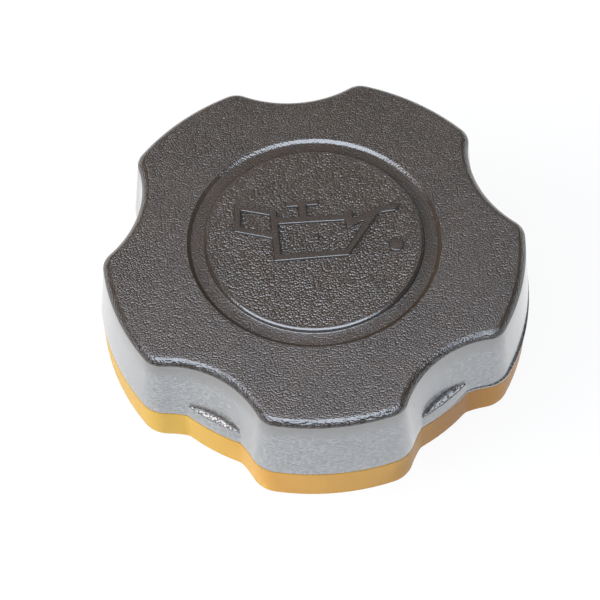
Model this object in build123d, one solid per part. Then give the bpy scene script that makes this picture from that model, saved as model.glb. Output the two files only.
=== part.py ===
from build123d import *
import math
import os

# Oil filler cap: a lobed hand grip snapped over a bayonet base with a rubber sealing ring.
# Millimetres. The origin is on the axis, in the plane where the sealing ring meets the rim
# of the filler opening. +Z points up, away from the engine, and one lobe points along -Y.

# Neck and bayonet lugs, which enter the filler opening
NECK_RADIUS = 18.2
NECK_WALL = 2.3
NECK_REACH = 15.0  # from the sealing plane down to the neck's end
PILOT_LENGTH = 3.5  # plain end of the neck, below the lugs
PILOT_STEP = 0.8  # by which the plain end is slimmer than the neck
END_CHAMFER = 0.5
LUGS = 3
LUG_REACH = 2.6  # out from the neck
LUG_SPAN = 46.0  # degrees round the neck
LUG_HEIGHT = 3.5
LUG_RISE = 1.0  # climb of the lug's cam face from its leading end
LUG_CORNER = 1.2

# Rubber sealing ring
SEAL_THICKNESS = 3.0
SEAL_LAND = 3.6  # width of the face that seals
SEAL_RELIEF = 0.8  # by which the ring's inner part stands back from that face
LAND_CLEARANCE = 0.4  # from the lugs' reach to the face that seals
SEAL_FIT = 0.1  # from the neck to the ring's bore
SEAL_EDGE = 0.3

# Base: plate, skirt and stiffening ribs
WALL = 2.2  # skirt of the base and side wall of the grip
PLATE = 2.4
SKIRT_HEIGHT = 6.5  # the part of the base that shows below the grip
SKIRT_EDGE = 0.4
SEAL_TO_SKIRT = 3.2  # from the sealing ring out to the skirt
REVEAL_HEIGHT = 0.3  # shadow gap between grip and base
REVEAL_DEPTH = 0.5
RIB = 1.6
RIB_DEPTH = 2.4
RIB_GAP = 0.5  # from the sealing ring to the ribs

# Grip, outside
LOBES = 5
FLUTE_DEPTH = 4.4  # from a lobe's crest to the floor of a finger flute
FLUTE_RADIUS = 15.3
LOBE_ARC = 36.0  # radius of a lobe's crest
CORNER_RADIUS = 4.6  # between crest and flute
TIGHT_CORNER = 0.6  # least radius that draft leaves of that corner inside the walls
GRIP_HEIGHT = 12.4  # from the grip's foot to its top edge
DRAFT = 6.2  # degrees
CROWN = 1.1  # rise of the top face from its edge to the middle
EDGE_RADIUS = 1.5
RIM_LEDGE = 1.1  # by which the round rim stands out of each flute's floor
RIM_HEIGHT = 2.4
LEDGE_WALL = 1.0
LEDGE_EDGE = 0.3
RIM_BLEND = 2.0  # where the base's rim runs out into its lobes

# Grip, relief of the top face
DISC_RADIUS = 16.7
DISC_RISE = 0.35  # above the top face
DISC_EDGE = 0.45
GROOVE_WIDTH = 2.7  # round the disc
GROOVE_DEPTH = 0.5
GROOVE_SLOPE = 1.0  # width of the groove's sloping outer side

# Snap joint inside the grip
TOP_WALL = 2.2
COLLAR_WALL = 1.8
COLLAR_CLEARANCE = 1.8  # from the grip's side wall in to the collar
UPSTAND_WALL = 1.8
UPSTAND_GAP = 0.8  # from the upstand's end to the underside of the top
JOINT_FIT = 0.15  # between pieces that fit inside each other
JOINT_GAP = 0.3  # along the axis, where pieces must not meet
BEAD_REACH = 0.5
BEAD_FLAT = 0.3
BEAD_SLOPE = 0.7
BEAD_DROP = 2.0  # from the upstand's end down to the bead
KEY_WIDTH = 2.4
KEY_HEIGHT = 0.7

# Values that follow, from the axis outwards
neck_bore = NECK_RADIUS - NECK_WALL
pilot_radius = NECK_RADIUS - PILOT_STEP
lug_radius = NECK_RADIUS + LUG_REACH
land_inner = lug_radius + LAND_CLEARANCE
seal_outer = land_inner + SEAL_LAND
rim_inner = seal_outer + SEAL_TO_SKIRT
rim_radius = rim_inner + WALL
flute_floor = rim_radius - RIM_LEDGE
lobe_reach = flute_floor + FLUTE_DEPTH
taper = math.tan(math.radians(DRAFT))
ledge_radius = rim_radius - RIM_HEIGHT * taper
draft_inset = GRIP_HEIGHT * taper
collar_outer = flute_floor - draft_inset - WALL - COLLAR_CLEARANCE
collar_inner = collar_outer - COLLAR_WALL
upstand_outer = collar_inner - JOINT_FIT
upstand_inner = upstand_outer - UPSTAND_WALL

# Values that follow, from the neck's end upwards
neck_end = -NECK_REACH
pilot_top = neck_end + PILOT_LENGTH
lug_bottom = pilot_top + PILOT_STEP
lug_top = lug_bottom + LUG_HEIGHT
plate_bottom = SEAL_THICKNESS
grip_foot = plate_bottom + PLATE
skirt_bottom = grip_foot - SKIRT_HEIGHT
ledge_level = grip_foot + RIM_HEIGHT
socket_top = ledge_level - LEDGE_WALL
boss_top = socket_top - JOINT_FIT
key_top = boss_top + KEY_HEIGHT
cavity_top = grip_foot + GRIP_HEIGHT - TOP_WALL
upstand_top = cavity_top - UPSTAND_GAP
bead_level = upstand_top - BEAD_DROP
edge_level = grip_foot + GRIP_HEIGHT

# Crowned top: part of a sphere through the middle of the top and the crests' top edge
crown_foot = lobe_reach - draft_inset
crown_radius = (crown_foot**2 + CROWN**2) / (2 * CROWN)
crown_centre = edge_level + CROWN - crown_radius

NEAR = 0.001  # distance within which two points count as one
SINK = 0.5  # depth by which a feature runs into the wall that it grows from
REACH = lobe_reach + FLUTE_RADIUS  # farther out than any piece
lobe_step = 360 / LOBES
first_lobe = -90


def lobe_turns(offset=0.0):
    """Turns about the axis that carry a feature on +X to each lobe."""
    return [Rot(0, 0, first_lobe + offset + k * lobe_step) for k in range(LOBES)]


def grip_outline(inset=0.0):
    """Lobed outline of the grip's foot, moved in by inset."""
    crest = Pos(lobe_reach - LOBE_ARC, 0) * Circle(LOBE_ARC - inset)
    outline = Circle(REACH)
    for turn in lobe_turns():
        outline &= turn * crest
    flute = Pos(flute_floor + FLUTE_RADIUS, 0) * Circle(FLUTE_RADIUS + inset)
    for turn in lobe_turns(lobe_step / 2):
        outline -= turn * flute
    return fillet(outline.vertices(), max(CORNER_RADIUS - inset, draft_inset + TIGHT_CORNER))


def base_outline(inset=0.0):
    """The grip's outline with the round rim that stands out of its flutes, blended."""
    radius = rim_radius - inset
    outline = grip_outline(inset) + Circle(radius)
    meetings = outline.vertices().filter_by(lambda v: abs(math.hypot(v.X, v.Y) - radius) < NEAR)
    return fillet(meetings, RIM_BLEND)


def slab(outline, bottom, top):
    """Outline carried straight up from one level to another."""
    return Pos(0, 0, bottom) * extrude(outline, amount=top - bottom)


def drafted_slab(outline, bottom, top):
    """Outline carried up from one level to another with draft."""
    block = slab(outline, bottom, top)
    sides = block.faces().filter_by(Axis.Z, reverse=True)
    return draft(sides, Plane.XY.offset(bottom), DRAFT)


def tube(outer, inner, bottom, top):
    """Plain ring about the axis."""
    return slab(Circle(outer) - Circle(inner), bottom, top)


def turned(points):
    """Solid turned about the axis from a straight-sided section, (radius, level) points."""
    section = Plane.XZ * make_face(Polyline(*points, close=True))
    return revolve(section, Axis.Z)


def crown_level(radius, lift=0.0):
    """Level of the crowned top, or of a surface parallel to it, at a distance from the axis."""
    return crown_centre + math.sqrt((crown_radius + lift) ** 2 - radius**2)


def crown(lift=0.0):
    """Ball under the crowned top, or under a surface parallel to it. Its poles lie sideways."""
    return Pos(0, 0, crown_centre) * Rot(0, 90, 0) * Sphere(crown_radius + lift)


def groove():
    """Ring cut out of the top round the disc: a sloping outer side and a crowned floor."""
    outer = DISC_RADIUS + GROOVE_WIDTH
    foot = outer - GROOVE_SLOPE
    outer_level = crown_level(outer)
    foot_level = crown_level(foot, -GROOVE_DEPTH)
    drop = outer_level - foot_level
    ring = turned(
        [
            (DISC_RADIUS, foot_level - drop),
            (foot - GROOVE_SLOPE, foot_level - drop),
            (outer + GROOVE_SLOPE, outer_level + drop),
            (DISC_RADIUS, outer_level + drop),
        ]
    )
    return ring - crown(-GROOVE_DEPTH)


def disc():
    """Raised round disc in the middle of the top, with a broken edge."""
    body = slab(Circle(DISC_RADIUS), cavity_top + SINK, edge_level + 2 * CROWN) & crown(DISC_RISE)
    rim = body.edges().filter_by(GeomType.CIRCLE).sort_by(Axis.Z)[-1]
    return chamfer(rim, DISC_EDGE)


def bead(grow=0.0):
    """Snap bead round the upstand. Grown by the fit, it is the groove in the collar."""
    tip = upstand_outer + BEAD_REACH + grow
    root = upstand_outer - SINK
    half_flat = BEAD_FLAT / 2 + grow
    half_root = half_flat + BEAD_SLOPE * (tip - root) / BEAD_REACH
    return turned(
        [
            (root, bead_level - half_root),
            (tip, bead_level - half_flat),
            (tip, bead_level + half_flat),
            (root, bead_level + half_root),
        ]
    )


def keys(width, bottom, top):
    """Radial blocks, one under each lobe, that turn the base with the grip."""
    start = upstand_outer - SINK
    length = collar_outer - start
    outline = Pos(start + length / 2, 0) * Rectangle(length, width)
    return [turn * slab(outline, bottom, top) for turn in lobe_turns()]


def at_top_edge(edge):
    """True for the edges between the top face and the side wall."""
    return edge.center().Z > cavity_top


def at_ledge(edge):
    """True for the outer edges of the rim's ledges in the flutes."""
    place = edge @ 0.5
    on_rim = abs(math.hypot(place.X, place.Y) - ledge_radius) < NEAR
    return on_rim and abs(place.Z - ledge_level) < NEAR


def make_grip_cover():
    """Hollow lobed grip with drafted sides, crowned top, rim ledges and snap collar."""
    grip = drafted_slab(grip_outline(), grip_foot, edge_level + 2 * CROWN) & crown()
    grip = fillet(grip.edges().filter_by(at_top_edge), EDGE_RADIUS)
    grip += drafted_slab(Circle(rim_radius), grip_foot, ledge_level)
    grip = chamfer(grip.edges().filter_by(at_ledge), LEDGE_EDGE)
    grip -= groove()
    grip += disc()
    grip -= drafted_slab(grip_outline(WALL), grip_foot, cavity_top)
    grip -= slab(Circle(rim_inner), grip_foot, socket_top)
    collar = tube(collar_outer, collar_inner, boss_top + JOINT_GAP, cavity_top + SINK)
    collar -= bead(JOINT_FIT)
    collar -= keys(KEY_WIDTH + 2 * JOINT_FIT, boss_top, key_top + JOINT_GAP)
    return grip + collar


def make_lug():
    """Bayonet lug on +X, with rounded tips and a sloping cam face on top."""
    half_span = math.radians(LUG_SPAN / 2)
    side_reach = 2 * lug_radius
    sector = make_face(
        Polyline(
            (0, 0),
            (side_reach * math.cos(half_span), -side_reach * math.sin(half_span)),
            (side_reach * math.cos(half_span), side_reach * math.sin(half_span)),
            close=True,
        )
    )
    outline = (Circle(lug_radius) - Circle(NECK_RADIUS - SINK)) & sector
    tips = outline.vertices().filter_by(lambda v: math.hypot(v.X, v.Y) > NECK_RADIUS)
    outline = fillet(tips, LUG_CORNER)
    half_width = lug_radius * math.sin(half_span)
    slope = math.degrees(math.atan2(LUG_RISE, 2 * half_width))
    block = Box(side_reach, 2 * side_reach, side_reach, align=(Align.CENTER, Align.CENTER, Align.MIN))
    cam = Pos(lug_radius, half_width, lug_top) * Rot(slope, 0, 0) * block
    return slab(outline, lug_bottom, lug_top) - cam


def make_neck():
    """Open-ended tube with a slimmer plain end."""
    return turned(
        [
            (neck_bore, neck_end),
            (pilot_radius - END_CHAMFER, neck_end),
            (pilot_radius, neck_end + END_CHAMFER),
            (pilot_radius, pilot_top),
            (NECK_RADIUS, lug_bottom),
            (NECK_RADIUS, plate_bottom + SINK),
            (neck_bore, plate_bottom + SINK),
        ]
    )


def make_bayonet_base():
    """Plate with skirt, ribs, neck and lugs below, and the upstand that snaps into the grip."""
    base = slab(base_outline(), skirt_bottom, grip_foot - REVEAL_HEIGHT)
    base = chamfer(base.edges().group_by(Axis.Z)[0], SKIRT_EDGE)
    base += slab(base_outline(REVEAL_DEPTH), grip_foot - REVEAL_HEIGHT, grip_foot)
    base -= slab(base_outline(WALL), skirt_bottom, plate_bottom)
    rib_start = seal_outer + RIB_GAP
    rib_length = lobe_reach - WALL + SINK - rib_start
    rib = Pos(rib_start + rib_length / 2, 0) * Rectangle(rib_length, RIB)
    base += [turn * slab(rib, plate_bottom - RIB_DEPTH, plate_bottom + SINK) for turn in lobe_turns()]
    base += tube(rim_inner - JOINT_FIT, upstand_inner, grip_foot - SINK, boss_top)
    base += tube(upstand_outer, upstand_inner, boss_top - SINK, upstand_top)
    base += bead()
    base += keys(KEY_WIDTH, boss_top - SINK, key_top)
    base += make_neck()
    base += [Rot(0, 0, k * 360 / LUGS) * make_lug() for k in range(LUGS)]
    return base


def make_sealing_ring():
    """Flat rubber ring whose outer part stands proud to seal on the filler opening."""
    bore = NECK_RADIUS + SEAL_FIT
    section = make_face(
        Polyline(
            (bore, SEAL_RELIEF),
            (land_inner, SEAL_RELIEF),
            (land_inner, 0),
            (seal_outer, 0),
            (seal_outer, SEAL_THICKNESS),
            (bore, SEAL_THICKNESS),
            close=True,
        )
    )
    section = chamfer(section.vertices(), SEAL_EDGE)
    return revolve(Plane.XZ * section, Axis.Z)


def save(name, piece):
    """One file for each piece of the cap."""
    piece.label = name
    export_step(piece, os.path.join("parts", name + ".step"))


os.makedirs("parts", exist_ok=True)
save("grip_cover", make_grip_cover())
save("bayonet_base", make_bayonet_base())
save("sealing_ring", make_sealing_ring())
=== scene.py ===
import cmath
import math
from types import SimpleNamespace

import bmesh
import bpy
import numpy as np
from mathutils import Matrix, Vector


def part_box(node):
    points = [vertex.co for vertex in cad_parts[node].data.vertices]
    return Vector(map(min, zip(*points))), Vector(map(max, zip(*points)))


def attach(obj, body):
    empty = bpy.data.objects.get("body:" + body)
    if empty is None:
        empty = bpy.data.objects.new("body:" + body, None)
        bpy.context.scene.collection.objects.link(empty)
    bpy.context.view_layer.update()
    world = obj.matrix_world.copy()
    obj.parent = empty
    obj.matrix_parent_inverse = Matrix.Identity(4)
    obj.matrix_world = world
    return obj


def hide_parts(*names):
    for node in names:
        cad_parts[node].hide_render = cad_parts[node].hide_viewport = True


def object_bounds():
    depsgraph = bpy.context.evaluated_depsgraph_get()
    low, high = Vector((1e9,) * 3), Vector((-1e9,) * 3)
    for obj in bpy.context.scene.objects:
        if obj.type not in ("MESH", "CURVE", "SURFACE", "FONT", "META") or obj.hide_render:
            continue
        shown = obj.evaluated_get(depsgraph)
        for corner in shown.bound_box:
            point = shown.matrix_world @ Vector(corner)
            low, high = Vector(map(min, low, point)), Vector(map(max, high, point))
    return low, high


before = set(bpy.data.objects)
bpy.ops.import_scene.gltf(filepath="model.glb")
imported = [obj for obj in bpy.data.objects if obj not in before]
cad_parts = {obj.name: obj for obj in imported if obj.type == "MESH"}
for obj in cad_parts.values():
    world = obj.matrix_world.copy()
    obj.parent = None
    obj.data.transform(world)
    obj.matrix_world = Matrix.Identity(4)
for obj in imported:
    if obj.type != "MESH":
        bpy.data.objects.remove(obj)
cad_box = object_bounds()

# Oil filler cap: dark grained grip, amber bayonet base and rubber sealing ring.
# Metres, in the solids' frame: +Z up along the cap's axis, one lobe of the grip on -Y.
# A place in plan is a complex number, x + iy, and a place in a section is out + i up.

MM = 0.001

# Grip, outside
LOBES = 5
FIRST_LOBE = math.radians(-90)
FLUTE_DEPTH = 4.4 * MM
FLUTE_RADIUS = 15.3 * MM
LOBE_ARC = 36.0 * MM
CORNER_RADIUS = 4.6 * MM
GRIP_HEIGHT = 12.4 * MM
DRAFT = math.radians(6.2)
CROWN = 1.1 * MM
# Top edge: arcs from the crown to the wall, each with its radius and how far its end leans up
EDGE_ARCS = (
    (2.2 * MM, math.radians(76)),
    (1.5 * MM, math.radians(47)),
    (3.2 * MM, math.radians(34)),
    (0.4 * MM, DRAFT),
)
RIM_LEDGE = 1.1 * MM
RIM_HEIGHT = 2.4 * MM
LEDGE_EDGE = 0.3 * MM
LEDGE_ROOT = 0.35 * MM  # hollow round where a ledge meets the flute's wall
FOOT_EDGE = 0.12 * MM
SEAM_SHADE_LIP = 0.3 * MM  # thin black lip over the base, widest on one side, where it stands in for the seam's shade
SEAM_SHADE_SIDE = math.radians(-28)
SEAM_FADE = 24  # the higher, the sooner the lip fades out
SEAM_HEIGHT = 0.3 * MM

# Grip, relief of the top face
DISC_RADIUS = 16.7 * MM
DISC_RISE = 0.35 * MM
DISC_BEVEL = 0.32 * MM  # width of the disc's bevelled edge, and how far it drops
DISC_DROP = 0.21 * MM
DISC_EDGE = 0.2 * MM
DISC_FOOT = 0.2 * MM
DISC_PLAIN = 0.93  # share of the disc's radius that its plain rings take
GROOVE_WIDTH = 2.7 * MM
GROOVE_DEPTH = 0.43 * MM
GROOVE_SLOPE = 0.58 * MM
GROOVE_EDGE = 0.38 * MM
GROOVE_RIM = 1.02  # share of the groove's radius where the plain top starts

# Grip, inside
WALL = 2.2 * MM
TOP_WALL = 2.2 * MM
LEDGE_WALL = 1.0 * MM
COLLAR_WALL = 1.8 * MM
COLLAR_CLEARANCE = 1.8 * MM
COLLAR_GAP = 0.15 * MM

# Steps of the grip's mesh
CREST_STEPS = 12
CORNER_STEPS = 12
FLUTE_STEPS = 28
EDGE_STEPS = 5
EDGE_TRIES = 6  # rounds in which the top edge's inset settles
WALL_STEPS = 9
TOP_STEPS = 8
TOP_CROWDING = 1.5  # above 1, the top's rings crowd towards its edge
DISC_STEPS = 9
ROUND_STEPS = 5
CRISP = math.radians(34)  # sharper folds than this stay crisp
WELD = 0.002 * MM  # points of a finished mesh nearer than this become one
FINE_WELD = 0.001 * MM  # the same for a mesh in the making, and for the ends of an edge

# Values that follow
grip_low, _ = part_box("grip_cover")
grip_foot = grip_low.z
lobe_reach = -grip_low.y
flute_floor = lobe_reach - FLUTE_DEPTH
rim_radius = flute_floor + RIM_LEDGE
rim_inner = rim_radius - WALL
ledge_radius = rim_radius - RIM_HEIGHT * math.tan(DRAFT)
edge_level = grip_foot + GRIP_HEIGHT
ledge_level = grip_foot + RIM_HEIGHT
socket_top = ledge_level - LEDGE_WALL
cavity_top = edge_level - TOP_WALL
draft_inset = GRIP_HEIGHT * math.tan(DRAFT)
collar_outer = flute_floor - draft_inset - WALL - COLLAR_CLEARANCE
collar_inner = collar_outer - COLLAR_WALL
collar_end = socket_top + COLLAR_GAP
groove_outer = DISC_RADIUS + GROOVE_WIDTH
crown_foot = lobe_reach - draft_inset
crown_radius = (crown_foot**2 + CROWN**2) / (2 * CROWN)
crown_centre = edge_level + CROWN - crown_radius
lobe_turn = 2 * math.pi / LOBES


# Curves and surfaces


def crown_level(plan, lift=0.0):
    """Level of the crowned top, or of a surface parallel to it, over places in plan."""
    return crown_centre + np.sqrt((crown_radius + lift) ** 2 - np.abs(plan) ** 2)


def meeting_point(first, first_radius, second, second_radius):
    """Where two circles in plan meet, on the left of the line from first to second."""
    span = abs(second - first)
    along = (span**2 + first_radius**2 - second_radius**2) / (2 * span)
    aside = math.sqrt(first_radius**2 - along**2)
    return first + (along + 1j * aside) * (second - first) / span


def arc(centre, radius, start, end, steps):
    """Places on an arc, given by the directions of its normals, and those normals."""
    normals = np.exp(1j * np.linspace(start, end, steps + 1))
    return centre + radius * normals, normals


def rounded(corners, radii):
    """Open line through corners, each eased by its radius."""
    line = [corners[0]]
    for before, corner, after, radius in zip(corners, corners[1:], corners[2:], radii):
        back = (before - corner) / abs(before - corner)
        ahead = (after - corner) / abs(after - corner)
        half_angle = abs(cmath.phase(ahead / back)) / 2
        reach = radius / math.tan(half_angle)
        for t in np.linspace(0, 1, ROUND_STEPS):
            line.append(corner + reach * (back * (1 - t) ** 2 + ahead * t**2))
    line.append(corners[-1])
    return line


def wall_plan(points, normals, level):
    """Outline of a drafted wall at a level."""
    return points - (level - grip_foot) * math.tan(DRAFT) * normals


def at_least(plan, radius):
    """Places in plan, moved out to a circle where they lie inside it."""
    return plan * np.maximum(1, radius / np.abs(plan))


def room_to_circle(plan, normals, radius):
    """How far each place can move along its normal before it leaves a circle."""
    along = (plan * normals.conj()).real
    inside = radius**2 - np.abs(plan) ** 2
    return np.where(inside > 0, np.sqrt(np.maximum(along**2 + inside, 0)) - along, 0)


def at_level(plan, level):
    """Ring of points from places in plan and one level or a level for each."""
    return np.column_stack([plan.real, plan.imag, np.broadcast_to(level, plan.shape)])


def plan_of(ring):
    """Places in plan of a ring of points."""
    return ring[:, 0] + 1j * ring[:, 1]


# Grip: rings of points, from the middle of the top, out, down and in


def grip_columns():
    """Outline of the grip's foot once round, and its outward normals."""
    half_turn = lobe_turn / 2
    crest = complex(lobe_reach - LOBE_ARC)
    flute = cmath.rect(flute_floor + FLUTE_RADIUS, half_turn)
    corner = meeting_point(flute, FLUTE_RADIUS + CORNER_RADIUS, crest, LOBE_ARC - CORNER_RADIUS)
    crest_end = cmath.phase(corner - crest)
    corner_end = cmath.phase(flute - corner)
    pieces = [
        arc(crest, LOBE_ARC, 0, crest_end, CREST_STEPS),
        arc(corner, CORNER_RADIUS, crest_end, corner_end, CORNER_STEPS),
        arc(flute, -FLUTE_RADIUS, corner_end, half_turn, FLUTE_STEPS),
    ]
    half = np.hstack([np.array(piece)[:, :-1] for piece in pieces])
    middle = np.array(pieces[-1])[:, -1:]
    mirrored = (half.conj() * cmath.rect(1, lobe_turn))[:, :0:-1]
    lobe = np.hstack([half, middle, mirrored])
    turns = [cmath.rect(1, FIRST_LOBE + number * lobe_turn) for number in range(LOBES)]
    points, normals = np.hstack([lobe * turn for turn in turns])
    return points, normals


def relief_rings(rays):
    """Disc, groove and the groove's sloping side, turned about the axis."""
    relief = rounded(
        [
            complex(DISC_RADIUS * DISC_PLAIN, DISC_RISE),
            complex(DISC_RADIUS - DISC_BEVEL, DISC_RISE),
            complex(DISC_RADIUS, DISC_RISE - DISC_DROP),
            complex(DISC_RADIUS, -GROOVE_DEPTH),
            complex(groove_outer - GROOVE_SLOPE, -GROOVE_DEPTH),
            complex(groove_outer, 0),
            complex(groove_outer * GROOVE_RIM, 0),
        ],
        [DISC_EDGE, DISC_EDGE, DISC_FOOT, GROOVE_EDGE, GROOVE_EDGE],
    )
    plain_radii = np.linspace(0, relief[0].real, DISC_STEPS + 1)[1:-1]
    rings = []
    for place in [complex(radius, DISC_RISE) for radius in plain_radii] + relief:
        plan = rays * place.real
        rings.append(at_level(plan, crown_level(plan) + place.imag))
    return rings


def top_rings(start, end):
    """Outer part of the top face, between two outlines in plan."""
    rings = []
    for t in np.linspace(0, 1, TOP_STEPS + 1)[1:-1]:
        plan = start + (end - start) * (1 - (1 - t) ** TOP_CROWDING)
        rings.append(at_level(plan, crown_level(plan)))
    return rings


def edge_section(lean):
    """Places along the top edge's section, from the crown with its lean to the wall."""
    angle = np.pi / 2 - lean
    place = np.zeros(lean.shape, complex)
    section = [place]
    for radius, end in EDGE_ARCS:
        for t in np.linspace(0, 1, EDGE_STEPS)[1:]:
            turned = angle * (1 - t) + end * t
            section.append(place + radius * (np.exp(1j * turned) - np.exp(1j * angle)))
        place, angle = section[-1], end
    return section


def edge_rings(points, normals):
    """Top edge, and the levels where it meets the drafted wall."""
    inset = draft_inset
    for _ in range(EDGE_TRIES):
        brink = points - inset * normals
        section = edge_section(np.arcsin((brink * normals.conj()).real / crown_radius))
        wall_top = crown_level(brink) + section[-1].imag
        inset = (wall_top - grip_foot) * math.tan(DRAFT) + section[-1].real
    rings = []
    for place in section:
        rings.append(at_level(brink + place.real * normals, crown_level(brink) + place.imag))
    return rings, wall_top


def wall_rings(points, normals, wall_top):
    """Drafted wall, and the hollow rounds at the ledges' roots."""
    root_level = ledge_level + LEDGE_ROOT
    rings = []
    for t in np.linspace(0, 1, WALL_STEPS + 1)[1:]:
        level = wall_top + (root_level - wall_top) * t
        rings.append(at_level(wall_plan(points, normals, level), level))
    for turn in np.linspace(0, math.pi / 2, ROUND_STEPS)[1:]:
        level = root_level - LEDGE_ROOT * math.sin(turn)
        wall = wall_plan(points, normals, level)
        room = room_to_circle(wall, normals, ledge_radius - LEDGE_EDGE)
        out = np.minimum(LEDGE_ROOT * (1 - math.cos(turn)), room)
        rings.append(at_level(wall + out * normals, level))
    return rings


def foot_rings(points, normals, rays):
    """Rim with its ledges in the flutes, a seam lip that stands in for the seam's shade on one
    side, and foot.
    """
    rim = rounded(
        [
            complex(ledge_radius - 2 * LEDGE_EDGE, ledge_level),
            complex(ledge_radius, ledge_level),
            complex(rim_radius, grip_foot),
        ],
        [LEDGE_EDGE],
    )
    rings = []
    for place in rim[:-1]:
        plan = at_least(wall_plan(points, normals, place.imag), place.real)
        rings.append(at_level(plan, place.imag))
    foot = at_least(points, rim_radius)
    # a dark lip that stands in for the seam's shade, widest on one side
    towards_side = np.maximum(0, (rays * cmath.rect(1, -SEAM_SHADE_SIDE)).real)
    lip = foot + SEAM_SHADE_LIP * towards_side**SEAM_FADE * normals
    rings.append(at_level(foot, grip_foot + SEAM_HEIGHT))
    rings.append(at_level(lip, grip_foot + SEAM_HEIGHT))
    rings.append(at_level(lip, grip_foot))
    rings.append(at_level(foot - FOOT_EDGE * normals, grip_foot))
    return rings


def inside_rings(points, normals, rays):
    """Socket for the base, then the side wall, top and collar inside."""
    inner = points - WALL * normals
    socket = at_least(inner, rim_inner)
    rings = [at_level(socket, grip_foot), at_level(socket, socket_top)]
    for level in (socket_top, cavity_top):
        rings.append(at_level(wall_plan(inner, normals, level), level))
    for radius, level in (
        (collar_outer, cavity_top),
        (collar_outer, collar_end),
        (collar_inner, collar_end),
        (collar_inner, cavity_top),
    ):
        rings.append(at_level(rays * radius, level))
    return rings


def grip_rings():
    """All rings of the grip's surface, in order."""
    points, normals = grip_columns()
    rays = points / np.abs(points)
    relief = relief_rings(rays)
    edge, wall_top = edge_rings(points, normals)
    return [
        *relief,
        *top_rings(plan_of(relief[-1]), plan_of(edge[0])),
        *edge,
        *wall_rings(points, normals, wall_top),
        *foot_rings(points, normals, rays),
        *inside_rings(points, normals, rays),
    ]


def ring_mesh(name, rings, first_pole, last_pole):
    """Closed mesh from rings of points, each with as many points, and a pole at each end."""
    count = len(rings[0])
    points = np.vstack([[first_pole], *rings, [last_pole]])
    last = len(points) - 1
    faces = []
    for here in range(count):
        beside = (here + 1) % count
        faces.append((0, 1 + here, 1 + beside))
        faces.append((last, last - count + beside, last - count + here))
    for ring in range(len(rings) - 1):
        inner = 1 + ring * count
        outer = inner + count
        for here in range(count):
            beside = (here + 1) % count
            faces.append((inner + here, outer + here, outer + beside, inner + beside))
    mesh = bpy.data.meshes.new(name)
    mesh.from_pydata([tuple(point) for point in points], [], faces)
    return mesh


def crisp_shading(mesh):
    """Merges points that coincide, shades smoothly and keeps the sharp folds crisp."""
    work = bmesh.new()
    work.from_mesh(mesh)
    bmesh.ops.remove_doubles(work, verts=work.verts, dist=WELD)
    bmesh.ops.dissolve_degenerate(work, edges=work.edges, dist=FINE_WELD)
    for face in work.faces:
        face.smooth = True
    for edge in work.edges:
        edge.smooth = len(edge.link_faces) == 2 and edge.calc_face_angle() < CRISP
    work.to_mesh(mesh)
    work.free()


def add_piece(mesh, material, slot, *stands_for):
    """Adds an object that rides on the cap's one body, with its finish."""
    piece = bpy.data.objects.new(mesh.name, mesh)
    bpy.context.scene.collection.objects.link(piece)
    mesh.materials.clear()
    mesh.materials.append(material)
    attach(piece, "root")
    if stands_for:
        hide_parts(*stands_for)


def make_grip(material):
    """Smooth grip with the solid's form."""
    top = (0, 0, float(crown_level(0, DISC_RISE)))
    mesh = ring_mesh("grip", grip_rings(), top, (0, 0, cavity_top))
    crisp_shading(mesh)
    add_piece(mesh, material, "black_plastic", "grip_cover")


# Sign on the disc

SIGN_RISE = 0.42 * MM
SIGN_SINK = 0.3 * MM
SIGN_EDGE = 0.2 * MM
SIGN_EDGE_STEPS = 2
SIGN_CORNER = 0.23 * MM
SIGN_CUT = 2.0 * MM  # the sign is cut up this finely to follow the crown

# Sign in plan, mm: the oil can's outline, its two windows, its drop and the mould's gate mark
CAN_OUTLINE = (
    (-6.45, -4.15), (-6.45, 0.05), (-12.05, 1.95), (-11.75, 7.25), (-5.25, 5.1), (-5.25, 3.85),
    (-2.0, 3.75), (-2.0, 5.7), (-3.85, 5.7), (-3.85, 6.8), (1.2, 6.8), (1.2, 5.7),
    (-0.65, 5.7), (-0.65, 3.7), (4.8, 3.55), (4.8, 4.15), (6.3, 4.15), (6.3, 2.6),
    (9.6, 4.2), (10.9, 4.9), (12.1, 4.8), (12.9, 5.3), (13.55, 4.3), (12.8, 3.6),
    (10.75, 3.4), (10.1, 3.1), (4.95, -4.15),
)
CAN_WINDOW = (
    (-5.25, -2.95), (-5.25, 2.6), (4.8, 2.35), (5.1, 0.75), (8.05, 2.3), (4.6, -2.95),
)
HANDLE_WINDOW = ((-10.95, 2.75), (-10.7, 5.8), (-6.45, 4.4), (-6.45, 1.2))
DROP_PLACE = (12.25, -2.75)
DROP_RADIUS = 1.15
DROP_TIP = 1.5
DROP_STEPS = 27
GATE_PLACE = (0.35, -0.25)
GATE_RADIUS = 0.45
GATE_STEPS = 24


def eased_loop(corners):
    """Closed line through corners (mm), each eased a little, as places in plan."""
    places = [complex(*corner) * MM for corner in corners]
    around = [places[-1], *places, places[0]]
    return rounded(around, [SIGN_CORNER] * len(places))[1:-1]


def drop_loop():
    """Outline of a drop with its tip up."""
    centre = complex(*DROP_PLACE) * MM
    shoulder = math.asin(DROP_RADIUS / DROP_TIP)
    start, end = math.pi - shoulder, 2 * math.pi + shoulder
    belly, _ = arc(centre, DROP_RADIUS * MM, start, end, DROP_STEPS)
    return [*belly, centre + 1j * DROP_TIP * MM]


def gate_loop():
    """Outline of the gate mark."""
    centre = complex(*GATE_PLACE) * MM
    circle, _ = arc(centre, GATE_RADIUS * MM, 0, 2 * math.pi, GATE_STEPS)
    return list(circle[:-1])


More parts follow.
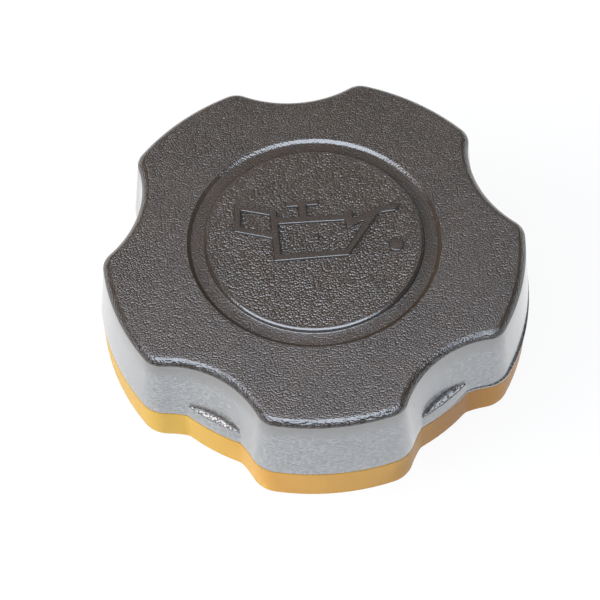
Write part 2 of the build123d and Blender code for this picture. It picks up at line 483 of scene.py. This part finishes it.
def sign_mesh(name, loops):
    """Raised flat shape with eased edges, bounded by loops in plan, that follows the crown."""
    curve = bpy.data.curves.new(name, "CURVE")
    curve.dimensions = "2D"
    curve.fill_mode = "BOTH"
    curve.extrude = (SIGN_RISE + SIGN_SINK) / 2 - SIGN_EDGE
    curve.bevel_depth = SIGN_EDGE
    curve.bevel_resolution = SIGN_EDGE_STEPS
    curve.offset = -SIGN_EDGE
    for loop in loops:
        spline = curve.splines.new("POLY")
        spline.points.add(len(loop) - 1)
        for point, place in zip(spline.points, loop):
            point.co = (place.real, place.imag, 0, 1)
        spline.use_cyclic_u = True
    drawn = bpy.data.objects.new(name, curve)
    bpy.context.scene.collection.objects.link(drawn)
    bpy.context.view_layer.update()
    flat = drawn.evaluated_get(bpy.context.evaluated_depsgraph_get())
    mesh = bpy.data.meshes.new_from_object(flat)
    bpy.data.objects.remove(drawn)
    bpy.data.curves.remove(curve)
    mesh.name = name
    lay_on_crown(mesh)
    crisp_shading(mesh)
    return mesh


def lay_on_crown(mesh):
    """Cuts a flat mesh finely, then lifts it onto the crown of the disc."""
    work = bmesh.new()
    work.from_mesh(mesh)
    bmesh.ops.remove_doubles(work, verts=work.verts, dist=FINE_WELD)
    for axis in (Vector((1, 0, 0)), Vector((0, 1, 0))):
        reach = [vert.co.dot(axis) for vert in work.verts]
        for place in np.arange(min(reach) + SIGN_CUT, max(reach), SIGN_CUT):
            everything = [*work.verts, *work.edges, *work.faces]
            bmesh.ops.bisect_plane(work, geom=everything, plane_co=axis * place, plane_no=axis)
    middle = (SIGN_RISE - SIGN_SINK) / 2
    for vert in work.verts:
        plan = complex(vert.co.x, vert.co.y)
        vert.co.z += float(crown_level(plan, DISC_RISE)) + middle
    work.to_mesh(mesh)
    work.free()


def make_sign(material):
    """Raised oil can and drop, the usual sign for engine oil, and the gate mark."""
    shapes = {
        "sign_can": [eased_loop(loop) for loop in (CAN_OUTLINE, CAN_WINDOW, HANDLE_WINDOW)],
        "sign_drop": [drop_loop()],
        "gate_mark": [gate_loop()],
    }
    for name, loops in shapes.items():
        add_piece(sign_mesh(name, loops), material, "black_plastic")


# Materials

NOISE_SPAN = (0.3, 0.7)  # noise mostly lies between these
CONE_STEEPNESS = (0.7, 1.3)
NUMBER_SOCKETS = (2, 3, 0)  # a Mix node's two inputs and its output, for numbers
COLOUR_SOCKETS = (6, 7, 2)


class Finish:
    """Node graph of one procedural material, in object coordinates, mm."""

    def __init__(self, name):
        self.material = bpy.data.materials.new(name)
        self.material.use_nodes = True
        self.tree = self.material.node_tree
        self.shader = self.tree.nodes["Principled BSDF"]
        place = self.add("TexCoord")
        self.place = self.vector("SCALE", place.outputs["Object"], scale=1 / MM)
        self.normal = place.outputs["Normal"]

    def add(self, kind):
        """Adds a shader node."""
        return self.tree.nodes.new("ShaderNode" + kind)

    def feed(self, socket, value):
        """Links an output to a socket, or sets the socket to a constant."""
        if isinstance(value, bpy.types.NodeSocket):
            self.tree.links.new(value, socket)
        else:
            socket.default_value = value

    def set(self, **values):
        """Feeds the shader's sockets, named with _ for a space."""
        for name, value in values.items():
            self.feed(self.shader.inputs[name.replace("_", " ")], value)

    def vector(self, operation, first, second=None, scale=None):
        """Result of a vector operation."""
        node = self.add("VectorMath")
        node.operation = operation
        self.feed(node.inputs[0], first)
        if second is not None:
            self.feed(node.inputs[1], second)
        if scale is not None:
            self.feed(node.inputs["Scale"], scale)
        return node.outputs["Value" if operation == "LENGTH" else "Vector"]

    def part(self, vector, axis):
        """One part of a vector."""
        node = self.add("SeparateXYZ")
        self.feed(node.inputs[0], vector)
        return node.outputs[axis]

    def radius(self):
        """Distance from the cap's axis, mm."""
        return self.vector("LENGTH", self.vector("MULTIPLY", self.place, (1, 1, 0)))

    def math(self, operation, first, second):
        """Result of an operation on two numbers."""
        node = self.add("Math")
        node.operation = operation
        self.feed(node.inputs[0], first)
        self.feed(node.inputs[1], second)
        return node.outputs[0]

    def plus(self, first, second):
        return self.math("ADD", first, second)

    def minus(self, first, second):
        return self.math("SUBTRACT", first, second)

    def times(self, first, second):
        return self.math("MULTIPLY", first, second)

    def greater(self, first, second):
        return self.math("MAXIMUM", first, second)

    def ramp(self, value, low, high, start=0.0, end=1.0):
        """Value eased from start, at low, to end, at high."""
        node = self.add("MapRange")
        node.interpolation_type = "SMOOTHSTEP"
        names = ("Value", "From Min", "From Max", "To Min", "To Max")
        for name, part in zip(names, (value, low, high, start, end)):
            self.feed(node.inputs[name], part)
        return node.outputs["Result"]

    def across(self, value, size, border, start=0.0, end=1.0):
        """Value eased across a border, whose two edges are given in mm from a size in metres."""
        low, high = (size / MM + edge for edge in border)
        return self.ramp(value, low, high, start, end)

    def spread(self, noise, start=0.0, end=1.0):
        """Noise spread from start to end."""
        return self.ramp(noise, *NOISE_SPAN, start, end)

    def mixed(self, node, sockets, factor, first, second):
        """Result of a Mix node."""
        first_socket, second_socket, result = sockets
        self.feed(node.inputs["Factor"], factor)
        self.feed(node.inputs[first_socket], first)
        self.feed(node.inputs[second_socket], second)
        return node.outputs[result]

    def between(self, factor, first, second):
        """Number between two numbers."""
        return self.mixed(self.add("Mix"), NUMBER_SOCKETS, factor, first, second)

    def mix(self, factor, first, second):
        """Colour between two colours."""
        node = self.add("Mix")
        node.data_type = "RGBA"
        return self.mixed(node, COLOUR_SOCKETS, factor, first, second)

    def noise(self, scale, detail=2.0, stretch=None, distortion=0.0):
        """Noise with that many waves to a millimetre, stretched along the axes if asked."""
        node = self.add("TexNoise")
        place = self.place if stretch is None else self.vector("MULTIPLY", self.place, stretch)
        self.feed(node.inputs["Vector"], place)
        self.feed(node.inputs["Scale"], scale)
        self.feed(node.inputs["Detail"], detail)
        self.feed(node.inputs["Distortion"], distortion)
        return node.outputs["Fac"]

    def cones(self, scale):
        """Small cones in plan, that many to a millimetre, of varied steepness."""
        node = self.add("TexVoronoi")
        node.voronoi_dimensions = "2D"
        self.feed(node.inputs["Vector"], self.place)
        self.feed(node.inputs["Scale"], scale)
        steepness = self.between(self.part(node.outputs["Color"], "X"), *CONE_STEEPNESS)
        return self.times(node.outputs["Distance"], steepness)

    def bump(self, height, depth):
        """Gives the surface relief, with depth in millimetres for a height of 1."""
        node = self.add("Bump")
        self.feed(node.inputs["Height"], height)
        node.inputs["Distance"].default_value = depth * MM
        self.feed(self.shader.inputs["Normal"], node.outputs["Normal"])


def rgb(red, green, blue):
    return (red, green, blue, 1.0)


# Grip's zones: soft borders in mm from a size, or in the upward part of the normal
TOP_BORDER = (1, 2)
GROOVE_BORDER = (-0.4, 0)
DISC_BORDER = (-0.75, -0.45)
DISC_FOOT_BORDER = (1.0, 1.5)
FLUTE_BORDER = (-0.3, -0.1)
ROOT_SHADE_BORDER = (0.5, 1.1)
LEDGE_TOP_BORDER = (0.02, 0.3)
LEDGE_FOOT_BORDER = (-1.2, -0.8)
NEAR_LEDGE_BORDER = (0.6, 1.2)
UNDER_EDGE_BORDER = (-4.5, -1.5)
FLAT_UP = (0.93, 0.985)
# upward part of the normal below which slopes get painted shade
SLOPE_SHADE_UP = (0.75, 0.93)
LEDGE_UP = (0.9, 0.98)
WALL_UP = (0.12, 0.4)
NEAR_LEDGE_UP = 0.3  # near a ledge, walls may face up this much more
UNDER_EDGE_SHADE = 0.65

# Grip's grain: waves or cones to a millimetre, then heights, and the depth in mm of a height of 1
TOP_CONES = 3.4
DISC_CONES = 2.9
FINE_WAVES = 6.0
DRAWN_WAVES = (1.7, 1.7, 6.5)  # along x, y and z
BLOTCH_WAVES = 0.12
TOP_GRAIN = 2.15
GROOVE_GRAIN = 1.5
DISC_GRAIN = 2.45
LEDGE_GRAIN = 1.2  # times the disc's
TOP_EDGE_GRAIN = 0.9
GROOVE_SIDE_GRAIN = 0.6
DISC_EDGE_GRAIN = 0.4
FINE_GRAIN = 0.15
WALL_DRAWN_GRAIN = 0.3
WALL_FINE_GRAIN = 0.1
GRIP_DEPTH = 0.06

# Grip's colours and gloss
DARK_WARM = rgb(0.051, 0.034, 0.023)
DARK_DEEP = rgb(0.042, 0.029, 0.02)
# Painted shade: near-black for steep rounds and slopes, and for the wall just under the top edge
PAINTED_SHADE_BLACK = rgb(0.022, 0.017, 0.014)
# The wall's drawn lines are its own grain; their pale grey is partly painted reflection of the pale
# floor
WALL_DARK = rgb(0.036, 0.041, 0.046)
WALL_PALE_LINES_AND_REFLECTION = rgb(0.152, 0.165, 0.176)
WALL_SPAN = (0.32, 0.68)
# Painted highlights: the ledges' black plastic gets a pale speckle that stands in for light
# glinting off it
LEDGE_PAINTED_GLINT = rgb(0.68, 0.63, 0.58)
LEDGE_PAINTED_DIM = rgb(0.13, 0.12, 0.11)
LEDGE_GLINT_SPAN = (0.2, 0.6)
TOP_ROUGHNESS = (0.38, 0.46)
DISC_ROUGHNESS = (0.31, 0.39)
TOP_EDGE_ROUGHNESS = 0.18
RELIEF_EDGE_ROUGHNESS = 0.15
WALL_ROUGHNESS = 0.25
GRIP_IOR = 2.3
WALL_COAT_ROUGHNESS = 0.12
WALL_COAT_IOR = 1.8


def grip_zones(look):
    """Share, from 0 to 1, that each of the grip's zones has at a point."""
    radius = look.radius()
    level = look.part(look.place, "Z")
    up = look.part(look.normal, "Z")
    outside = look.across(radius, groove_outer, TOP_BORDER)
    off_disc = look.across(radius, DISC_RADIUS, DISC_FOOT_BORDER)

    near_ledge = look.across(level, ledge_level, NEAR_LEDGE_BORDER, NEAR_LEDGE_UP, 0)
    steep = look.ramp(look.minus(up, near_ledge), *WALL_UP, 1, 0)
    in_flute = look.across(radius, ledge_radius, FLUTE_BORDER, 1, 0)
    # painted shade: in the flutes, just above the ledges, the wall's pale finish is left off, so
    # the wall's root stays dark
    over_ledge = look.across(level, ledge_level, ROOT_SHADE_BORDER, 1, 0)
    clear_of_root_shade = look.minus(1.0, look.times(in_flute, over_ledge))
    wall = look.times(look.times(outside, steep), clear_of_root_shade)

    under_top = look.across(level, ledge_level, LEDGE_TOP_BORDER, 1, 0)
    over_foot = look.across(level, ledge_level, LEDGE_FOOT_BORDER)
    ledge = look.times(look.times(under_top, over_foot), look.ramp(up, *LEDGE_UP))

    groove_side = look.times(off_disc, look.minus(1.0, outside))
    return SimpleNamespace(
        outside=outside,
        off_disc=off_disc,
        wall=wall,
        ledge=ledge,
        flat=look.ramp(up, *FLAT_UP),
        clear_of_slope_shade=look.greater(look.ramp(up, *SLOPE_SHADE_UP), groove_side),
        disc=look.across(radius, DISC_RADIUS, DISC_BORDER, 1, 0),
        groove=look.across(radius, groove_outer, GROOVE_BORDER, 1, 0),
        # painted shade on the wall just under the top edge's overhang
        painted_under_edge_shade=look.across(level, edge_level, UNDER_EDGE_BORDER, 0, UNDER_EDGE_SHADE),
    )


def grip_height(look, zone, grain):
    """Height of the grain: cones on top, coarser on the disc and ledges, lines on the wall."""
    relief_edge = look.between(zone.off_disc, DISC_EDGE_GRAIN, GROOVE_SIDE_GRAIN)
    on_slope = look.between(zone.outside, relief_edge, TOP_EDGE_GRAIN)
    on_flat = look.between(zone.groove, TOP_GRAIN, GROOVE_GRAIN)
    top = look.times(grain.top, look.between(zone.flat, on_slope, on_flat))
    disc = look.times(grain.disc, DISC_GRAIN)
    height = look.between(zone.disc, top, disc)
    height = look.minus(look.times(grain.fine, FINE_GRAIN), height)
    drawn = look.times(grain.drawn, WALL_DRAWN_GRAIN)
    wall = look.plus(drawn, look.times(grain.fine, WALL_FINE_GRAIN))
    height = look.between(zone.wall, height, wall)
    return look.between(zone.ledge, height, look.times(disc, LEDGE_GRAIN))


def grip_colour(look, zone, grain):
    """Warm black with painted shade on steep slopes, under the top edge and at the ledges' roots, a
    drawn grey wall that is partly painted reflection, and painted glints on the ledges.
    """
    dark = look.mix(look.spread(look.noise(BLOTCH_WAVES)), DARK_WARM, DARK_DEEP)
    # painted shade on steep rounds and slopes, but not on the groove's sloping side
    dark = look.mix(zone.clear_of_slope_shade, PAINTED_SHADE_BLACK, dark)
    # drawn lines of the wall's grain, pale partly as painted reflection
    wall = look.mix(look.ramp(grain.drawn, *WALL_SPAN), WALL_DARK, WALL_PALE_LINES_AND_REFLECTION)
    # painted shade on the wall just under the top edge
    wall = look.mix(zone.painted_under_edge_shade, wall, PAINTED_SHADE_BLACK)
    # painted glints on the ledges
    ledge = look.mix(look.ramp(grain.disc, *LEDGE_GLINT_SPAN), LEDGE_PAINTED_GLINT, LEDGE_PAINTED_DIM)
    return look.mix(zone.ledge, look.mix(zone.wall, dark, wall), ledge)


def grip_roughness(look, zone, grain):
    """Satin grain, with glossier slopes and walls."""
    top = look.spread(grain.fine, *TOP_ROUGHNESS)
    disc = look.spread(grain.fine, *DISC_ROUGHNESS)
    slope = look.between(zone.outside, RELIEF_EDGE_ROUGHNESS, TOP_EDGE_ROUGHNESS)
    roughness = look.between(zone.flat, slope, look.between(zone.disc, top, disc))
    return look.between(zone.wall, roughness, WALL_ROUGHNESS)


def grip_finish():
    """Dark moulded plastic: grained top, coarser disc and ledges, drawn side walls made bright
    partly by painted reflection.
    """
    look = Finish("grip_plastic")
    zone = grip_zones(look)
    grain = SimpleNamespace(
        top=look.cones(TOP_CONES),
        disc=look.cones(DISC_CONES),
        fine=look.noise(FINE_WAVES, detail=1.0),
        drawn=look.noise(1.0, detail=3.0, stretch=DRAWN_WAVES),
    )
    look.bump(grip_height(look, zone, grain), GRIP_DEPTH)
    look.set(
        Base_Color=grip_colour(look, zone, grain),
        Roughness=grip_roughness(look, zone, grain),
        IOR=GRIP_IOR,
        Coat_Weight=zone.wall,
        Coat_Roughness=WALL_COAT_ROUGHNESS,
        Coat_IOR=WALL_COAT_IOR,
    )
    return look.material


# Sign's finish
STROKE_UP = (0.95, 0.99)  # upward part of the normal from a stroke's side to its top
STROKE_CONES = 3.2
STROKE_WAVES = 4.0
STROKE_GRAIN = 2.5
STROKE_DEPTH = 0.02
STROKE_BLOTCHES = 1.4
STROKE_DARK = rgb(0.054, 0.041, 0.033)
STROKE_PALE = rgb(0.062, 0.048, 0.04)
# painted shade on the strokes' sides
STROKE_PAINTED_SHADE = rgb(0.02, 0.016, 0.013)
STROKE_ROUGHNESS = (0.24, 0.3)
STROKE_SIDE_ROUGHNESS = 0.18


def sign_finish():
    """Smooth raised strokes of the grip's plastic, with painted shade on their sides."""
    look = Finish("sign_plastic")
    on_top = look.ramp(look.part(look.normal, "Z"), *STROKE_UP)
    fine = look.noise(STROKE_WAVES)
    grain = look.times(look.cones(STROKE_CONES), look.between(on_top, 0.0, STROKE_GRAIN))
    look.bump(look.minus(fine, grain), STROKE_DEPTH)
    colour = look.mix(look.noise(STROKE_BLOTCHES, detail=3.0), STROKE_DARK, STROKE_PALE)
    look.set(
        # painted shade on the strokes' sides
        Base_Color=look.mix(on_top, STROKE_PAINTED_SHADE, colour),
        Roughness=look.between(on_top, STROKE_SIDE_ROUGHNESS, look.spread(fine, *STROKE_ROUGHNESS)),
        IOR=GRIP_IOR,
    )
    return look.material


# Base's finish: painted light towards the cap's left and painted shade towards its right, between
# places given in mm
AMBER_FLOW = 0.09
AMBER_WAVES = 3.5
AMBER_DEPTH = 0.02
AMBER_DEEP = rgb(0.38, 0.188, 0.024)
AMBER_PALE = rgb(0.42, 0.224, 0.036)
AMBER_PAINTED_LIGHT = rgb(0.405, 0.255, 0.03)
AMBER_PAINTED_SHADE = rgb(0.27, 0.112, 0.009)
AMBER_PAINTED_HALF_SHADE = rgb(0.33, 0.145, 0.012)
PAINTED_LIGHT_BORDER = (-24, -6)
PAINTED_LIGHT_END = 0.2  # share of the middle's colour that the end in painted light keeps
PAINTED_SHADE_BORDER = (6, 19)
PAINTED_HALF_SHADE_BORDER = (21, 27)
AMBER_ROUGHNESS = (0.38, 0.48)
AMBER_IOR = 1.4
AMBER_SCATTER = 0.15
AMBER_SCATTER_DEPTH = 1.5 * MM
AMBER_SCATTER_COLOUR = (1.0, 0.55, 0.2)


def amber_finish():
    """Amber moulded plastic, a little see-through, with a faint flow of colour, painted light on
    its left and painted shade on its right.
    """
    look = Finish("amber_plastic")
    flow = look.noise(AMBER_FLOW, detail=3.0, distortion=0.6)
    fine = look.noise(AMBER_WAVES)
    look.bump(fine, AMBER_DEPTH)
    x = look.part(look.place, "X")
    colour = look.mix(look.spread(flow), AMBER_DEEP, AMBER_PALE)
    # painted light on the left, painted shade over the right flute, and lighter painted shade at
    # the right lobe
    colour = look.mix(look.ramp(x, *PAINTED_LIGHT_BORDER, PAINTED_LIGHT_END, 1), AMBER_PAINTED_LIGHT, colour)
    colour = look.mix(look.ramp(x, *PAINTED_SHADE_BORDER), colour, AMBER_PAINTED_SHADE)
    colour = look.mix(look.ramp(x, *PAINTED_HALF_SHADE_BORDER), colour, AMBER_PAINTED_HALF_SHADE)
    look.set(
        Base_Color=colour,
        Roughness=look.spread(fine, *AMBER_ROUGHNESS),
        IOR=AMBER_IOR,
        Subsurface_Weight=AMBER_SCATTER,
        Subsurface_Scale=AMBER_SCATTER_DEPTH,
        Subsurface_Radius=AMBER_SCATTER_COLOUR,
    )
    return look.material


# Ring's finish
RUBBER_WAVES = 3.0
RUBBER_DEPTH = 0.03
RUBBER_DARK = rgb(0.018, 0.018, 0.019)
RUBBER_PALE = rgb(0.045, 0.044, 0.043)
RUBBER_ROUGHNESS = (0.6, 0.75)


def rubber_finish():
    """Matt black rubber with fine moulding grain."""
    look = Finish("black_rubber")
    fine = look.noise(RUBBER_WAVES, detail=3.0)
    look.bump(fine, RUBBER_DEPTH)
    colour = look.mix(fine, RUBBER_DARK, RUBBER_PALE)
    look.set(Base_Color=colour, Roughness=look.spread(fine, *RUBBER_ROUGHNESS))
    return look.material


def dress_node(name, material):
    """Gives a solid that stays in view its finish."""
    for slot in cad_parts[name].material_slots:
        slot.material = material


# Stage, light and camera

FLOOR_SIZE = 4.0
FLOOR_WAVES = 0.02
FLOOR_GREY = rgb(0.86, 0.86, 0.86)
FLOOR_PALE = rgb(0.9, 0.9, 0.9)
FLOOR_ROUGHNESS = 0.8
FLOOR_WHITE = 0.9  # share of plain white in what the eye sees of the floor
# Soft boxes: place, width and height, power, colour, and whether gloss mirrors them
LAMPS = {
    "main": ((-0.18, -0.61, 1.02), (2.4, 0.92), 27.0, (0.8, 0.9, 1.04), True),
    "side": ((-0.98, -0.26, 0.48), (0.7, 0.7), 17.0, (1.0, 0.91, 0.83), False),
    "fill": ((0.9, 0.6, 0.4), (0.8, 0.8), 3.0, (0.95, 0.97, 1.0), False),
}
SKY = 0.06  # strength overhead
HORIZON = 0.9
HORIZON_BAND = (1, 8)  # elevations, in degrees, between which the horizon fades into the sky
CAMERA_AIM = Vector((-3.10, -10.35, 17.8)) * MM
CAMERA_DISTANCE = 317.3 * MM
CAMERA_AZIMUTH = math.radians(-4.06)
CAMERA_ELEVATION = math.radians(56.454)
CAMERA_ROLL = math.radians(-1.282)
CAMERA_LENS = 127.12  # mm, on a 36 mm sensor
CAMERA_NEAR = 0.01


def floor_finish():
    """White paper, brightened to the eye and in gloss, where the cap's shadow stays soft."""
    look = Finish("white_floor")
    colour = look.mix(look.noise(FLOOR_WAVES), FLOOR_GREY, FLOOR_PALE)
    look.set(Base_Color=colour, Roughness=FLOOR_ROUGHNESS)
    path = look.add("LightPath").outputs
    seen = look.greater(path["Is Camera Ray"], path["Is Glossy Ray"])
    seen = look.greater(seen, path["Is Transmission Ray"])
    white = look.add("Emission")
    mixed = look.add("MixShader")
    look.feed(mixed.inputs[0], look.times(seen, FLOOR_WHITE))
    look.feed(mixed.inputs[1], look.shader.outputs[0])
    look.feed(mixed.inputs[2], white.outputs[0])
    look.feed(look.tree.nodes["Material Output"].inputs["Surface"], mixed.outputs[0])
    return look.material


def add_floor():
    """Floor under the cap."""
    bpy.ops.mesh.primitive_plane_add(size=FLOOR_SIZE, location=(0, 0, cad_box[0].z))
    floor = bpy.context.object
    floor.name = "floor"
    floor.data.materials.append(floor_finish())


def add_lamp(name, place, size, power, colour, mirrored):
    """Soft box that faces the cap."""
    light = bpy.data.lights.new(name, "AREA")
    light.shape = "RECTANGLE"
    light.size, light.size_y = size
    light.energy = power
    light.color = colour
    lamp = bpy.data.objects.new(name, light)
    bpy.context.scene.collection.objects.link(lamp)
    lamp.location = place
    lamp.rotation_euler = Vector(place).to_track_quat("Z", "Y").to_euler()
    lamp.visible_glossy = mirrored


def add_sky():
    """Pale surroundings: white at the horizon and dim above."""
    world = bpy.data.worlds.new("studio")
    world.use_nodes = True
    bpy.context.scene.world = world
    tree = world.node_tree
    direction = tree.nodes.new("ShaderNodeTexCoord")
    parts = tree.nodes.new("ShaderNodeSeparateXYZ")
    tree.links.new(direction.outputs["Generated"], parts.inputs[0])
    strength = tree.nodes.new("ShaderNodeMapRange")
    strength.interpolation_type = "SMOOTHSTEP"
    low, high = (math.sin(math.radians(angle)) for angle in HORIZON_BAND)
    names = ("From Min", "From Max", "To Min", "To Max")
    for name, value in zip(names, (low, high, HORIZON, SKY)):
        strength.inputs[name].default_value = value
    tree.links.new(parts.outputs["Z"], strength.inputs["Value"])
    backdrop = tree.nodes["Background"]
    backdrop.inputs["Color"].default_value = rgb(1, 1, 1)
    tree.links.new(strength.outputs["Result"], backdrop.inputs["Strength"])


def add_camera():
    """Camera at the photograph's viewing angle."""
    flat = math.cos(CAMERA_ELEVATION)
    back = Vector(
        (
            math.sin(CAMERA_AZIMUTH) * flat,
            -math.cos(CAMERA_AZIMUTH) * flat,
            math.sin(CAMERA_ELEVATION),
        )
    )
    right = Vector((math.cos(CAMERA_AZIMUTH), math.sin(CAMERA_AZIMUTH), 0))
    up = back.cross(right)
    turned = Matrix((right, up, back)).transposed()
    turned = Matrix.Rotation(CAMERA_ROLL, 3, back) @ turned
    data = bpy.data.cameras.new("camera")
    data.lens = CAMERA_LENS
    data.clip_start = CAMERA_NEAR
    camera = bpy.data.objects.new("camera", data)
    bpy.context.scene.collection.objects.link(camera)
    eye = CAMERA_AIM + back * CAMERA_DISTANCE
    camera.matrix_world = Matrix.Translation(eye) @ turned.to_4x4()
    bpy.context.scene.camera = camera


make_grip(grip_finish())
make_sign(sign_finish())
dress_node("bayonet_base", amber_finish())
dress_node("sealing_ring", rubber_finish())
add_floor()
add_sky()
for lamp_name, setup in LAMPS.items():
    add_lamp(lamp_name, *setup)
add_camera()
bpy.context.scene.view_settings.view_transform = "Standard"
